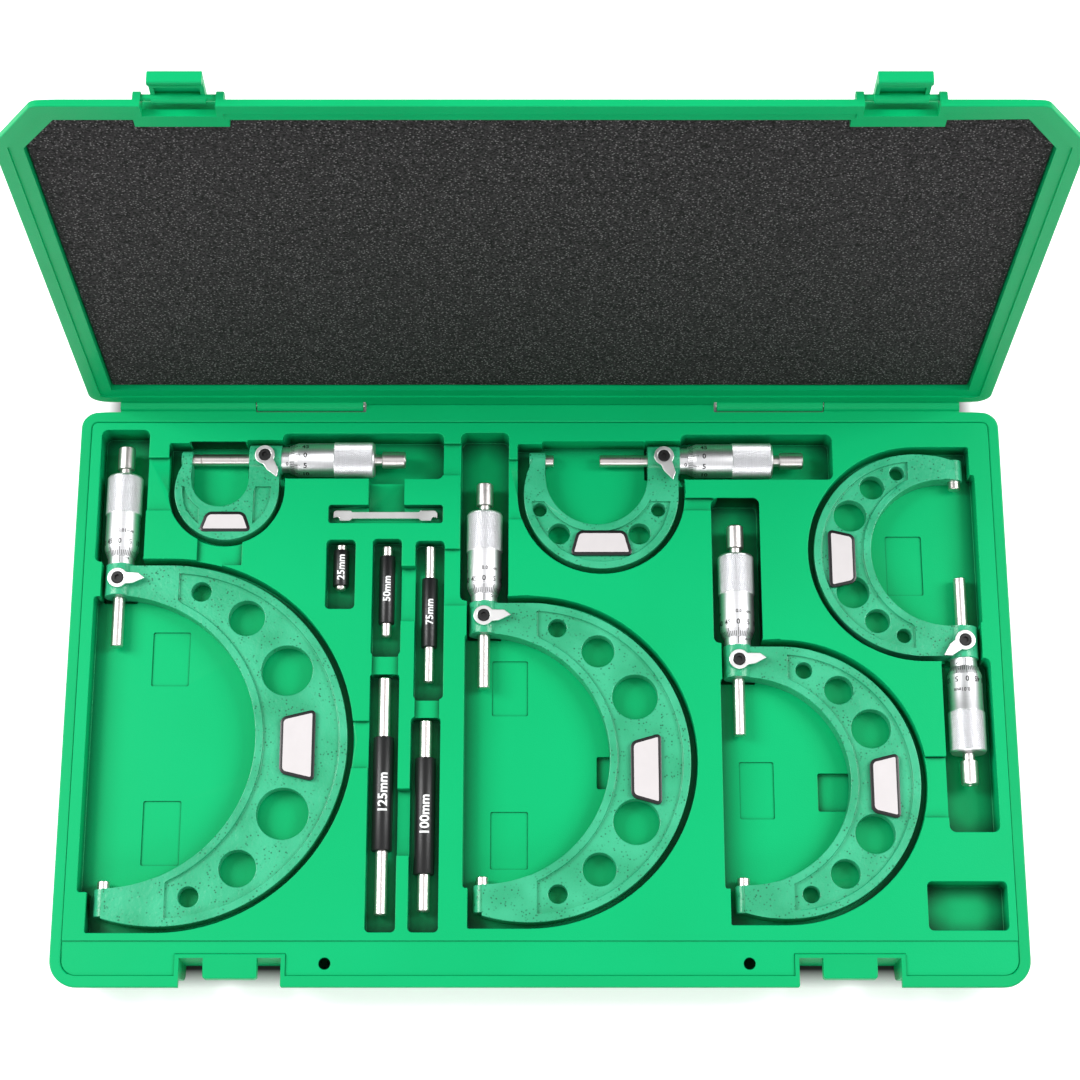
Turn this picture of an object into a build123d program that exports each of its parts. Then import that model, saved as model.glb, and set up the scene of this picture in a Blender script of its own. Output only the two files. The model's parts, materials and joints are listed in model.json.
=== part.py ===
from build123d import *
import os
from dataclasses import dataclass
from math import cos, radians, sin

# Hinged plastic case that holds six outside micrometers, five setting standards and a spanner.
# Millimetres. The origin is at the centre of the case's underside, with X to the right, Y towards
# the hinge and Z up. The lid is drawn closed, then turned open on its hinge.

# ---- Case ----
CASE_WIDTH = 500
CASE_DEPTH = 310
BASE_HEIGHT = 30  # the lid and the base meet at this height
LID_DEPTH = 11
FRONT_RADIUS = 14
BACK_RADIUS = 9
FLANGE = 3.5  # thickness of the rim that runs round both halves
RIM = 5.9  # width of the rim outside the insert tray
TUB_INSET = 5  # from the rim's edge to the outside of the tub
WALL = 2.2
FLOOR = 2.4
DRAFT = 4  # degrees that the moulded walls lean
LEDGE = 3  # shelf inside the rim that carries the insert tray
UNDERSIDE_RADIUS = 5

# ---- Lid ----
LID_OPEN = 94.5  # degrees from closed to the stop
LID_WIDTH = 490  # narrower than the base, which shows a rim on both sides
LID_CHAMFER = (23, 34)  # how much each front corner takes off the width and the depth
LID_CORNER = 6
LID_LIP = 6.4  # width of the face that meets the base
LID_LEDGE = 1  # depth of the ledge between that face and the foam
LID_WALL = (11.2, 13.2)  # from the lid's edge to the outside and the inside of its wall
LID_EDGE = 3  # radius round the outside of the lid
LID_SKIN = 1.8
FOAM_THICK = 4.7
FOAM_GAP = 0.4
SWAGE_WIDTH = 400
SWAGE_DEPTH = 220
SWAGE_SINK = 0.8

# ---- Hinge ----
HINGE_SETBACK = 4  # from the back edge to the pins' axis
BARREL_R = 3.5
PIN_R = 1.5
RUNNING_GAP = 0.05  # between a pin and the bore it turns in
BASE_BARREL = (155, 229)  # where each base barrel begins and ends, from the middle
LID_BARREL = (96.5, 154.5)
STOP_LIP = 2.4  # the base's middle reaches this far behind the axis and stops the lid

# ---- Latches ----
LATCH_X = 158
LATCH_WIDTH = 24
LATCH_PLATE = 1.8
LATCH_RIB = 2
LATCH_BAR = (8.6, 10)  # where the bar across its back begins and ends, below the pivot
LATCH_DROP = 17  # from the pivot to the tip
LATCH_HOOK = (6, 3.2)  # reach and thickness of the hook
LATCH_BACK = 3.5  # from the pivot to the latch's outer face
LATCH_PIVOT_UP = 6.5  # the pivot's height above the rim
LATCH_BARREL_R = 2.6
TRUNNION_R = 1.5
TRUNNION_LENGTH = 6.3
LID_NOTCH = (33, 8.5)  # width and depth of the lid's notch for a latch
LATCH_HOUSING = (42, 19.5)  # width and depth of the lid's ledge round that notch
LATCH_EAR = (3.5, 7, 6)  # the ears that hold the trunnions: width, depth and height
BASE_NOTCH = (52, 14.7)
NOTCH_WALL = 2.8
CATCH_WIDTH = 27.5
CATCH_REACH = 10.4
CATCH_HEIGHT = 7
LATCH_OPEN = 90

# ---- Insert tray ----
TRAY_TOP = 29.8
TRAY_PLATE = 2
CUP_WALL = 1.6
AXIS_Z = 22.5  # height of every spindle's axis
REST_GAP = 0.2  # between a piece and the floor of its pocket
POCKET_ROOM = 3.4  # between a bow and the side of its pocket
POCKET_CORNER = 2.5
BAY_FLOOR = 12
BAND_FLOOR = 27
STANDARD_FLOOR = 19.5
FRONT_STEP_Y = -131.5  # a low step crosses the tray in front of the pockets
FRONT_STEP = 0.8
SCREW_HOLES = ((-109.8, -143), (106.8, -143))
SCREW_HOLE_R = 3
PANEL_CUTS_X = (-178, -82, 14, 128, 206)  # planes that divide the deck, through its openings
PANEL_CUTS_Y = (-45, 76, 115)
SEAM = 0.05  # how far the solid of a well reaches past its own wall

# ---- Micrometer parts that all six share ----
SPINDLE_R = 3.25
SLEEVE_R = 7
SLEEVE_SHOWN = 4.4
SPIGOT = (5, 8)  # radius and length of the sleeve's end inside the frame
THIMBLE_R = 9.2
KNURL_R = 9.8
THIMBLE_SMOOTH = 24
THIMBLE_BEVEL = 4.5
THIMBLE_KNURL = 22
THIMBLE_END = 3  # closed end wall of the thimble
RATCHET_NECK = (3.1, 4)
RATCHET_KNOB = (4.6, 12.8)
FRAME_THICK = 11
BOSS_R = 8
BOSS_LENGTH = 17.5
ANVIL_SHOWN = 4.5
ANVIL_BOSS_R = 4.6
ANVIL_R = 3.2
WEB_SINK = 1.8
WEB_EDGE = 4.2
LOCK_SEAT = (5.4, 8.3)  # radius, and height above the axis
LOCK_RING = (5.4, 1.6)
LOCK_HUB_R = 3.3
LEVER_REACH = 14.5


@dataclass
class Micrometer:
    """One outside micrometer, described by what makes it differ from its sisters.

    In its own frame X points to the bow and Y runs from the anvil to the thimble,
    from the anvil's face. The spindle's axis is at the height zero.
    """

    name: str
    capacity: float  # the smallest gap, and the gap at rest
    x: float  # where the anvil's face lies in the case
    y: float
    turn: float  # degrees about Z
    spindle_shown: float
    lever_turn: float  # degrees of the lock lever from X, towards the thimble
    hole_turns: tuple  # lightening holes, in degrees either side of the bow's middle
    hole_shares: tuple  # their diameters, as a share of the bow's width there
    pocket_side: float  # pocket's edge behind the axis
    bay_end: float  # from the end of the ratchet to the end of the thimble's bay

    @property
    def boss_start(self):
        return self.capacity + self.spindle_shown

    @property
    def boss_end(self):
        return self.boss_start + BOSS_LENGTH

    @property
    def thimble_start(self):
        return self.boss_end + SLEEVE_SHOWN

    @property
    def knurl_start(self):
        return self.thimble_start + THIMBLE_SMOOTH

    @property
    def knurl_end(self):
        return self.knurl_start + THIMBLE_KNURL

    @property
    def ratchet_end(self):
        return self.knurl_end + RATCHET_NECK[1] + RATCHET_KNOB[1]

    @property
    def heel(self):
        """How far the bow reaches beyond the anvil's face."""
        return min(13.5 + 0.11 * self.capacity, 24)

    @property
    def anvil_boss_end(self):
        return -min(self.heel - 3, 18.5)

    @property
    def bow_reach(self):
        return 47 + 0.62 * self.capacity

    @property
    def throat_reach(self):
        return 28 + 0.385 * self.capacity

    @property
    def bow_circle(self):
        """Centre and radius of the bow's outer curve."""
        top, bottom = self.boss_end - 1, -self.heel
        radius = (top - bottom) / 2
        return self.bow_reach - radius, (top + bottom) / 2, radius

    @property
    def throat_circle(self):
        top, bottom = self.boss_start, -ANVIL_SHOWN
        radius = (top - bottom) / 2
        return self.throat_reach - radius, (top + bottom) / 2, radius

    def holes(self):
        """Centre and radius of each lightening hole, along the middle of the bow."""
        bow_x, bow_y, bow_r = self.bow_circle
        throat_x, throat_y, throat_r = self.throat_circle
        x, y, r = (bow_x + throat_x) / 2, (bow_y + throat_y) / 2, (bow_r + throat_r) / 2
        for turn, share in zip(self.hole_turns, self.hole_shares):
            width = bow_r - throat_r + (bow_x - throat_x) * cos(radians(turn))
            for side in (1, -1):
                angle = radians(side * turn)
                yield x + r * cos(angle), y + r * sin(angle), share * width / 2

    def place(self, shape, z=AXIS_Z):
        return Pos(self.x, self.y, z) * Rot(0, 0, self.turn) * shape


SIX_HOLES = ((26, 50, 69), (0.6, 0.515, 0.37))
FOUR_HOLES = ((38.5, 67), (0.52, 0.42))
NO_HOLES = ((), ())
MICROMETERS = [
    Micrometer("micrometer_0_25", 0, -184.5, 129.8, -90, 26.5, 29, *NO_HOLES, 8.4, 21),
    Micrometer("micrometer_25_50", 25, 7.5, 129.2, -90, 26, 20, *FOUR_HOLES, 9, 15.5),
    Micrometer("micrometer_50_75", 50, 225.2, 112.5, 180, 27.5, 36, *SIX_HOLES, 10, 26),
    Micrometer("micrometer_75_100", 75, 105.3, -98.5, 0, 30.5, 4, *SIX_HOLES, 10, 14.3),
    Micrometer("micrometer_100_125", 100, -29.9, -98, 0, 29, 2, *SIX_HOLES, 10, 27.5),
    Micrometer("micrometer_125_150", 125, -225.5, -100.2, 0, 27, 0, *SIX_HOLES, 12.4, 8.4),
]


@dataclass
class Standard:
    """A setting rod with a grip, lying along Y. y is the upper end of the rod."""

    length: float
    x: float
    y: float
    grip: tuple  # where the grip begins and ends, from the rod's upper end
    slot: tuple  # y of the two ends of its slot


STANDARD_ROD_R = 2.75
STANDARD_GRIP_R = 4.25
STANDARD_Z = STANDARD_FLOOR + REST_GAP + STANDARD_GRIP_R
SLOT_WIDTH = 15.6
STANDARDS = [
    Standard(25, -106.8, 80.6, (3, 23), (43.9, 82.3)),
    Standard(50, -82, 79.8, (5.5, 43), (18.2, 82.8)),
    Standard(75, -59, 79.8, (18, 56), (-5.6, 81.7)),
    Standard(100, -60, -16.2, (20, 81), (-127.3, -14.8)),
    Standard(125, -82, 6.9, (32, 92), (-127.3, 8.7)),
]

# ---- Spanner ----
SPANNER_X = -83.5
SPANNER_Y = 97
SPANNER_LENGTH = 52
SPANNER_THICK = 2.4
SPANNER_HEAD = 6
SPANNER_NECK = 3.6
SPANNER_FLOOR = 24


# ---- The case's two halves ----


def case_outline(inset=0):
    """Footprint of the base, drawn in by inset all round."""
    outline = Rectangle(CASE_WIDTH, CASE_DEPTH)
    outline = fillet(outline.vertices().group_by(Axis.Y)[0], FRONT_RADIUS)
    outline = fillet(outline.vertices().group_by(Axis.Y)[-1], BACK_RADIUS)
    return offset(outline, -inset) if inset else outline


def lid_outline(inset=0):
    """Footprint of the lid: chamfered corners in front, rounded ones at the hinge."""
    half, back = LID_WIDTH / 2, CASE_DEPTH / 2
    across, along = LID_CHAMFER
    right = [(half, back), (half, along - back), (half - across, -back)]
    left = [(-x, y) for x, y in reversed(right)]
    outline = make_face(Polyline(*right, *left, close=True))
    outline = fillet(outline.vertices().group_by(Axis.Y)[-1], BACK_RADIUS)
    outline = fillet([v for v in outline.vertices() if v.Y < 0], LID_CORNER)
    return offset(outline, -inset) if inset else outline


def slab(sketch, bottom, top):
    return extrude(Pos(0, 0, bottom) * sketch, top - bottom)


def block(x, y, z):
    """Box between the two ends given for each axis."""
    size = [b - a for a, b in (x, y, z)]
    middle = [(a + b) / 2 for a, b in (x, y, z)]
    return Pos(*middle) * Box(*size)


def notch(side, size, grow=0, bottom=-1, top=BASE_HEIGHT + LID_DEPTH + 1):
    """Block that clears a latch, open to the front."""
    width, depth = size
    half = width / 2 + grow
    middle = side * LATCH_X
    front = -CASE_DEPTH / 2
    return block((middle - half, middle + half), (front - 1, front + depth + grow), (bottom, top))


def both_sides(make):
    return [make(side) for side in (-1, 1)]


def base_shell():
    """Open tub with a rim, a shelf for the tray, latch notches, catches and hinge barrels."""
    rim_bottom = BASE_HEIGHT - FLANGE
    plate_bottom = TRAY_TOP - TRAY_PLATE
    down = (0, 0, -1)
    tub = extrude(Pos(0, 0, rim_bottom) * case_outline(TUB_INSET), rim_bottom, dir=down, taper=DRAFT)
    tub = fillet(tub.edges().group_by(Axis.Z)[0], UNDERSIDE_RADIUS)
    inside = extrude(
        Pos(0, 0, rim_bottom) * case_outline(TUB_INSET + WALL), rim_bottom - FLOOR, dir=down, taper=DRAFT
    )
    inside += slab(case_outline(TUB_INSET + LEDGE), rim_bottom, plate_bottom)
    inside += slab(case_outline(RIM - REST_GAP), plate_bottom, BASE_HEIGHT)
    inside -= both_sides(lambda side: notch(side, BASE_NOTCH, WALL))
    shell = slab(case_outline(), rim_bottom, BASE_HEIGHT) + tub + base_hinge()
    shell -= inside
    shell -= both_sides(lambda side: notch(side, BASE_NOTCH))
    return shell + both_sides(catch)


def catch(side):
    """Tab that a latch hooks under, standing out from the back of its notch."""
    back = BASE_NOTCH[1] - CASE_DEPTH / 2
    half = CATCH_WIDTH / 2
    middle = side * LATCH_X
    tab = block(
        (middle - half, middle + half),
        (back - CATCH_REACH, back + 0.5),
        (BASE_HEIGHT - CATCH_HEIGHT, BASE_HEIGHT),
    )
    front = tab.edges().filter_by(Axis.Z).group_by(Axis.Y)[0]
    return fillet(front, 1.5)


def barrel(ends, side, radius, z=BASE_HEIGHT):
    """Round bar along X on the hinge's axis, between two distances from the middle."""
    start, end = ends
    middle = side * (start + end) / 2
    hinge_y = CASE_DEPTH / 2 + HINGE_SETBACK
    return Pos(middle, hinge_y, z) * Rot(0, 90, 0) * Cylinder(radius, end - start)


def pin_bore(side):
    return barrel((LID_BARREL[0] - 1, BASE_BARREL[1] - 2), side, PIN_R + RUNNING_GAP)


def base_hinge():
    """Lip along the back edge that carries the barrels and stops the open lid."""
    back = CASE_DEPTH / 2
    axis_y = back + HINGE_SETBACK
    z = (BASE_HEIGHT - FLANGE, BASE_HEIGHT)
    stop = LID_BARREL[0] - 1.5
    lip = block((-stop, stop), (back - 2, axis_y + STOP_LIP), z)
    for side in (-1, 1):
        x = sorted((side * BASE_BARREL[0], side * BASE_BARREL[1]))
        lip += block(x, (back - 2, axis_y), z)
        lip += barrel(BASE_BARREL, side, BARREL_R)
        lip -= pin_bore(side)
    return lip


def hinge_pins():
    """Two steel pins, one through each pair of barrels."""
    ends = (LID_BARREL[0] - 0.5, BASE_BARREL[1] - 3)
    return Compound(both_sides(lambda side: barrel(ends, side, PIN_R)))


def lid_shell():
    """Shallow lid, closed: broad rim with a ledge, pan, knuckles and notches for the latches."""
    rim_top = BASE_HEIGHT + FLANGE
    top = BASE_HEIGHT + LID_DEPTH
    outside, inside = LID_WALL
    pan = extrude(Pos(0, 0, rim_top) * lid_outline(outside), top - rim_top, taper=DRAFT)
    pan = fillet(pan.edges().group_by(Axis.Z)[-1], LID_EDGE)
    swage = RectangleRounded(SWAGE_WIDTH, SWAGE_DEPTH, 20)
    pan -= slab(swage, top - SWAGE_SINK, top)
    shell = slab(lid_outline(), BASE_HEIGHT, rim_top) + pan + lid_hinge()
    shell += [latch_ear(side, end) for side in (-1, 1) for end in (-1, 1)]
    ledge = slab(lid_outline(LID_LIP), BASE_HEIGHT, BASE_HEIGHT + LID_LEDGE)
    shell -= ledge - both_sides(lambda side: notch(side, LID_NOTCH, NOTCH_WALL))
    room = slab(lid_outline(inside), BASE_HEIGHT, top - LID_SKIN - SWAGE_SINK)
    shell -= room - both_sides(lambda side: notch(side, LATCH_HOUSING))
    shell -= both_sides(lambda side: notch(side, LID_NOTCH))
    for side in (-1, 1):
        shell -= latch_pivot(side) * Rot(0, 90, 0) * Cylinder(
            TRUNNION_R + RUNNING_GAP, LID_NOTCH[0] + 2 * NOTCH_WALL - 1.6
        )
        shell -= base_barrel_room(side)
    return shell


def latch_ear(side, end):
    """Ear on the lid's rim beside a notch, bored for a trunnion."""
    width, depth, height = LATCH_EAR
    inner = side * LATCH_X + end * LID_NOTCH[0] / 2
    front = 1 - CASE_DEPTH / 2
    rim_top = BASE_HEIGHT + FLANGE
    ear = block(sorted((inner, inner + end * width)), (front, front + depth), (rim_top - 1, rim_top + height))
    return fillet(ear.edges().filter_by(Axis.X).group_by(Axis.Z)[-1], LID_EDGE)


def base_barrel_room(side):
    """Room in the lid's back edge for a base barrel."""
    x = sorted((side * (BASE_BARREL[0] - 0.5), side * (BASE_BARREL[1] + 0.5)))
    back = CASE_DEPTH / 2
    return block(x, (back - 0.2, back + 9), (BASE_HEIGHT - 1, BASE_HEIGHT + 8))


def lid_hinge():
    """Lip between the lid's knuckles, and the knuckles."""
    back = CASE_DEPTH / 2
    axis_y = back + HINGE_SETBACK
    z = (BASE_HEIGHT, BASE_HEIGHT + FLANGE - 0.4)
    stop = LID_BARREL[0] - 1.5
    lip = block((-stop, stop), (back - 2, axis_y - 0.4), z)
    for side in (-1, 1):
        x = sorted((side * LID_BARREL[0], side * LID_BARREL[1]))
        lip += block(x, (back - 2, axis_y), z)
        lip += barrel(LID_BARREL, side, BARREL_R)
        lip -= pin_bore(side)
    return lip


def lid_foam():
    """Sheet of foam that fills the lid inside its lip."""
    top = BASE_HEIGHT + LID_DEPTH - LID_SKIN - SWAGE_SINK
    sheet = slab(lid_outline(LID_WALL[1] + FOAM_GAP), top - FOAM_THICK, top)
    return sheet - both_sides(lambda side: notch(side, LATCH_HOUSING, FOAM_GAP))


def latch_pivot(side):
    return Pos(side * LATCH_X, LATCH_BACK - CASE_DEPTH / 2, BASE_HEIGHT + LATCH_PIVOT_UP)


def latch(side):
    """Moulded latch, hanging closed: ribbed plate with a hook below and trunnions above."""
    half = LATCH_WIDTH / 2
    outer = -LATCH_BACK
    rib_face = outer + LATCH_PLATE + LATCH_RIB
    reach, thick = LATCH_HOOK
    top = 3.2
    body = block((-half, half), (outer, outer + LATCH_PLATE), (-LATCH_DROP, top))
    for edge in (-half, half - LATCH_RIB):
        body += block((edge, edge + LATCH_RIB), (outer, rib_face), (-LATCH_DROP, 0))
    body += block((-half, half), (outer, outer + reach), (-LATCH_DROP, thick - LATCH_DROP))
    body += block((-half, half), (outer, rib_face), (-LATCH_BAR[1], -LATCH_BAR[0]))
    body = fillet(body.edges().filter_by(Axis.X).group_by(Axis.Z)[0], 1.2)
    body += Rot(0, 90, 0) * Cylinder(LATCH_BARREL_R, LATCH_WIDTH)
    body += Rot(0, 90, 0) * Cylinder(TRUNNION_R, LATCH_WIDTH + 2 * TRUNNION_LENGTH)
    return body


# ---- Insert tray ----


def rounded(x, y, corner=POCKET_CORNER):
    """Rectangle between two ends along X and two along Y, with round corners."""
    size = (x[1] - x[0], y[1] - y[0])
    middle = ((x[0] + x[1]) / 2, (y[0] + y[1]) / 2)
    return Pos(*middle) * RectangleRounded(*size, corner)


def frame_pocket(m):
    """Outline round a micrometer's bow, its throat and the room behind its spindle."""
    bow_x, bow_y, bow_r = m.bow_circle
    foot = -m.heel - POCKET_ROOM
    head = m.boss_end - 1 + POCKET_ROOM
    anvil_side = ANVIL_BOSS_R + 2.8
    outline = Pos(bow_x, bow_y) * Circle(bow_r + POCKET_ROOM)
    outline -= Pos(bow_x - 100, bow_y) * Rectangle(200, 2 * bow_r + 20)
    outline += rounded((-anvil_side, bow_x + 1), (foot, head), 1)
    outline += rounded((-m.pocket_side, 0), (-ANVIL_SHOWN - 2, m.boss_start - 1), 1.5)
    return outline


def bay(m):
    """Deep bay that takes the thimble and leaves its screw room to turn."""
    side = KNURL_R + 3.2
    return rounded((-side, side), (m.boss_end + 0.5, m.ratchet_end + m.bay_end), 3.5)


def boss_trough(m):
    """Deeper floor under the round boss."""
    return rounded((-BOSS_R - 1.2, BOSS_R + 1.2), (m.boss_start - 1.5, m.boss_end + 2), 1)


def pockets():
    """Every sunk shape of the tray, as pairs of an outline and the height of its floor."""
    frame_floor = AXIS_Z - FRAME_THICK / 2 - REST_GAP
    for m in MICROMETERS:
        yield m.place(frame_pocket(m), 0), frame_floor
        yield m.place(bay(m), 0), BAY_FLOOR
        yield m.place(boss_trough(m), 0), BAY_FLOOR
    for s in STANDARDS:
        half = SLOT_WIDTH / 2
        yield rounded((s.x - half, s.x + half), s.slot), STANDARD_FLOOR
    yield rounded((-114, -52.4), (91.8, 102), 1.5), SPANNER_FLOOR
    yield rounded((199, 240), (-126.3, -101.3)), 14
    yield from finger_channels()


def finger_channels():
    """Low bands that join neighbouring pockets, and deeper gaps to lift a piece by."""
    bands = [
        ((-214, -192), (99, 129)),
        ((-184, -160), (68, 86)),
        ((-56, -40), (119, 137)),
        ((-55, -39), (45.6, 77.3)),
        ((-20, -4), (94, 128)),
        ((-104, -86), (-42, -17)),
        ((-89, -75), (5, 22)),
        ((-66, -53), (-18, -2)),
        ((198, 216), (-68, -36)),
        ((72, 94), (99, 106)),
    ]
    for x, y in bands:
        yield rounded(x, y, 1), BAND_FLOOR
    yield rounded((-92.6, -73.3), (97, 118), 1), 20
    yield rounded((-78, -63), (37.3, 67.7), 1), 23
    yield rounded((-78, -63), (-87.9, -53), 1), 23


def finger_notches():
    """Gaps beside two of the bows, cut down from the pocket's floor."""
    yield rounded((30, 48), (-50.6, -33.6), 1), 13.5
    yield rounded((146, 164), (-62.5, -42.4), 1), 13.5


def pads():
    """Shallow rectangles moulded in the floor of each throat."""
    for x, y in [
        ((-207, -187), (4.7, 34.2)),
        ((-208, -188), (-91, -57)),
        ((-25.5, -6.4), (-11.6, 18.3)),
        ((-26, -6.3), (-93, -62.8)),
        ((104.8, 123), (-66.7, -36.3)),
        ((187, 206.6), (54.7, 87.9)),
    ]:
        yield rounded(x, y, 1)


def tray_outline(inset=0):
    outline = case_outline(RIM + inset)
    for side in (-1, 1):
        width, depth = BASE_NOTCH
        grow = WALL + REST_GAP
        middle = (side * LATCH_X, (depth + grow) / 2 - CASE_DEPTH / 2)
        outline -= Pos(*middle) * Rectangle(width + 2 * grow, depth + grow)
    return outline


def insert_tray():
    """Thin tray: a deck with a well hung under it for each pocket."""
    frame_floor = AXIS_Z - FRAME_THICK / 2 - REST_GAP
    plate_bottom = TRAY_TOP - TRAY_PLATE
    sunk = list(pockets()) + list(finger_notches())
    tray = slab(tray_outline(), plate_bottom, TRAY_TOP)
    cups = [slab(offset(shape, CUP_WALL), floor - CUP_WALL, plate_bottom + 1) for shape, floor in sunk]
    tray += cups
    tray &= slab(tray_outline(), 0, TRAY_TOP)
    tray -= [slab(shape, floor, TRAY_TOP + 1) for shape, floor in sunk]
    tray -= [slab(shape, frame_floor - 0.8, TRAY_TOP + 1) for shape in pads()]
    front = Pos(0, FRONT_STEP_Y - 50) * Rectangle(CASE_WIDTH, 100)
    tray -= slab(front, TRAY_TOP - FRONT_STEP, TRAY_TOP + 1)
    tray -= [Pos(x, y, TRAY_TOP) * Cylinder(SCREW_HOLE_R, 10) for x, y in SCREW_HOLES]
    solids = [solid for part in simple_parts(tray, plate_bottom) for solid in part.solids()]
    return Compound([solid for solid in solids if solid.volume > 1])


def simple_parts(tray, deck_bottom):
    """The one moulding, cut where it would be filled if a convex skin were drawn over it."""
    rest = tray_outline()
    for m in MICROMETERS:
        bow = offset(frame_pocket(m) + boss_trough(m), CUP_WALL + SEAM)
        throat_middle = (m.boss_start - ANVIL_SHOWN) / 2
        for outline in (offset(bay(m), CUP_WALL + SEAM), *halves(bow, throat_middle)):
            room = m.place(outline, 0) & rest
            rest -= room
            yield tray & slab(room, 0, deck_bottom)
    yield tray & slab(rest, 0, deck_bottom)
    for x in spans(PANEL_CUTS_X, CASE_WIDTH / 2):
        for y in spans(PANEL_CUTS_Y, CASE_DEPTH / 2):
            yield tray & block(x, y, (deck_bottom, TRAY_TOP))


def halves(outline, y):
    """An outline divided along a line across Y."""
    size = 2 * CASE_WIDTH
    return [outline & (Pos(0, y + side * size / 2) * Rectangle(size, size)) for side in (-1, 1)]


def spans(cuts, reach):
    """Neighbouring pairs of the cuts, from one edge to the other."""
    ends = (-reach, *cuts, reach)
    return list(zip(ends, ends[1:]))


# ---- Micrometers, each in its own frame ----


def turned(*outline):
    """Solid of revolution about Y from points given as radius and distance along Y."""
    return revolve(make_face(Polyline(*outline, close=True)), Axis.Y)


def rod(radius, start, end):
    return turned((0, start), (radius, start), (radius, end), (0, end))


def bow_outline(m, edge=0):
    """The bow seen from above, between its two curves, drawn in by edge all round."""
    bow_x, bow_y, bow_r = m.bow_circle
    throat_x, throat_y, throat_r = m.throat_circle
    top, bottom, taper = bow_y + bow_r, bow_y - bow_r, 5
    legs = make_face(
        Polyline((0, bottom + taper), (bow_x, bottom), (bow_x, top), (0, top), close=True)
    )
    outline = Pos(bow_x, bow_y) * Circle(bow_r - edge) + legs
    outline -= Pos(throat_x, throat_y) * Circle(throat_r + edge)
    reach = 2 * m.bow_reach
    outline -= Pos(-reach / 2, bow_y) * Rectangle(reach, 4 * bow_r)
    if throat_x > 0:
        outline -= Pos(throat_x / 2, throat_y) * Rectangle(throat_x, 2 * throat_r)
    return outline


def web_recess(m):
    """The sunk middle of the bow, inside a raised edge."""
    bow_x, bow_y, bow_r = m.bow_circle
    throat_x, throat_y, throat_r = m.throat_circle
    start = bow_x + (4 if m.capacity > 0 else -2)
    web = Pos(bow_x, bow_y) * Circle(bow_r - WEB_EDGE)
    web -= Pos(throat_x, throat_y) * Circle(throat_r + WEB_EDGE)
    web -= Pos(start - m.bow_reach, bow_y) * Rectangle(2 * m.bow_reach, 4 * bow_r)
    if not m.hole_turns:
        web -= Pos(bow_x + bow_r, bow_y) * Rectangle(2 * bow_r, 29)
    return web


def frame(m):
    """C-shaped casting with a boss for the screw, one for the anvil and a seat for the lock."""
    half = FRAME_THICK / 2
    body = slab(bow_outline(m), -half, half)
    recess = web_recess(m)
    body -= slab(recess, half - WEB_SINK, half + 1)
    body -= slab(recess, -half - 1, WEB_SINK - half)
    body -= [Pos(x, y) * Cylinder(r, 2 * FRAME_THICK) for x, y, r in m.holes()]
    body += rod(BOSS_R, m.boss_start, m.boss_end)
    body += rod(ANVIL_BOSS_R, m.anvil_boss_end, -ANVIL_SHOWN)
    seat_r, seat_top = LOCK_SEAT
    body += Pos(0, lock_y(m), seat_top / 2 + 1) * Cylinder(seat_r, seat_top - 2)
    body -= rod(SPINDLE_R + RUNNING_GAP, m.boss_start - 1, m.boss_end + 1)
    body -= rod(SPIGOT[0], m.boss_end - SPIGOT[1], m.boss_end + 1)
    return body - rod(ANVIL_R, anvil_foot(m), 0)


def lock_y(m):
    return m.boss_start + BOSS_LENGTH / 2


def anvil_foot(m):
    """Where the anvil ends inside its boss."""
    return m.anvil_boss_end + 2


def anvil(m):
    """Fixed measuring face, pressed into its boss."""
    foot = anvil_foot(m)
    return turned((0, foot), (ANVIL_R, foot), (ANVIL_R, -0.4), (ANVIL_R - 0.4, 0), (0, 0))


def sleeve(m):
    """Graduated barrel with a spigot inside the frame and a bore for the spindle."""
    start, end = m.boss_end - SPIGOT[1], m.knurl_end - THIMBLE_END - 0.5
    body = rod(SPIGOT[0], start, m.boss_end) + rod(SLEEVE_R, m.boss_end, end)
    return body - rod(SPINDLE_R + RUNNING_GAP, start - 1, end + 1)


def spindle(m):
    """Screw spindle, from its measuring face to the far end of the thimble."""
    start, end = m.capacity + 0.02, m.knurl_end
    return turned((0, start), (SPINDLE_R - 0.4, start), (SPINDLE_R, start + 0.4), (SPINDLE_R, end), (0, end))


def thimble(m):
    """Cup that turns round the sleeve: bevelled graduated edge, plain barrel and knurled grip."""
    start = m.thimble_start
    bore = SLEEVE_R + 2 * RUNNING_GAP
    inner_end = m.knurl_end - THIMBLE_END
    edge = m.knurl_start - 0.4
    return turned(
        (bore, start),
        (bore + 0.5, start),
        (THIMBLE_R, start + THIMBLE_BEVEL),
        (THIMBLE_R, edge),
        (KNURL_R, edge + 0.6),
        (KNURL_R, m.knurl_end - 0.8),
        (KNURL_R - 0.8, m.knurl_end),
        (SPINDLE_R + RUNNING_GAP, m.knurl_end),
        (SPINDLE_R + RUNNING_GAP, inner_end),
        (bore, inner_end),
    )


def ratchet(m):
    """Knurled knob on a neck, which slips once the spindle meets the work."""
    neck_r, neck = RATCHET_NECK
    knob_r, knob = RATCHET_KNOB
    start = m.knurl_end + 0.1
    middle = m.knurl_end + neck
    end = middle + knob
    return turned(
        (0, start), (neck_r, start), (neck_r, middle), (knob_r, middle + 0.5),
        (knob_r, end - 0.6), (knob_r - 0.6, end), (0, end),
    )


def lock_lever(m):
    """Flat ring over the lock screw with a pointed lever."""
    ring_r, thick = LOCK_RING
    blade = make_face(
        Polyline((2, -3.6), (8.2, -3), (LEVER_REACH, -0.2), (LEVER_REACH - 3.4, 2.6), (2, 3.2), close=True)
    )
    plan = Circle(ring_r) + blade - Circle(LOCK_HUB_R)
    lever = slab(plan, LOCK_SEAT[1] + 0.1, LOCK_SEAT[1] + 0.1 + thick)
    return Pos(0, lock_y(m), 0) * Rot(0, 0, m.lever_turn) * lever


# ---- Standards and spanner ----


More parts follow.
